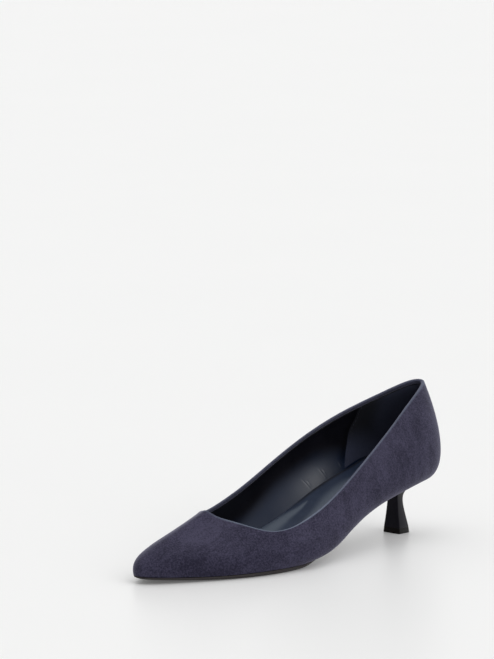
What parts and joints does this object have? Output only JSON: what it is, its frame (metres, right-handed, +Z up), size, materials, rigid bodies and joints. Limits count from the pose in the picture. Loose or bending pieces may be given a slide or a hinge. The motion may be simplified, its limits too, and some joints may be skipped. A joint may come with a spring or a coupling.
{
  "type": "pump shoe",
  "caption": "Pointed suede pump for the left foot: low-cut hollow upper with a shallow V throat, padded insole, thin sole and a low flared heel with a wearing tip.",
  "frame": {"origin": "centre of the footprint on the floor the shoe stands on", "axes": "+X along the length towards the heel (the toe points to -X), +Y to the inner (medial) side, +Z up"},
  "size_m": [0.252, 0.0762, 0.0914],
  "materials": {
    "suede": "suede nap, matte",
    "sock_leather": "smooth, soft sheen",
    "sole_rubber": "matte",
    "heel_finish": "satin lacquer",
    "lift_rubber": "matte"
  },
  "bodies": {
    "root": {"upper": "suede", "insole": "sock_leather", "outsole": "sole_rubber", "heel": "heel_finish", "top_lift": "lift_rubber"}
  },
  "joints": []
}
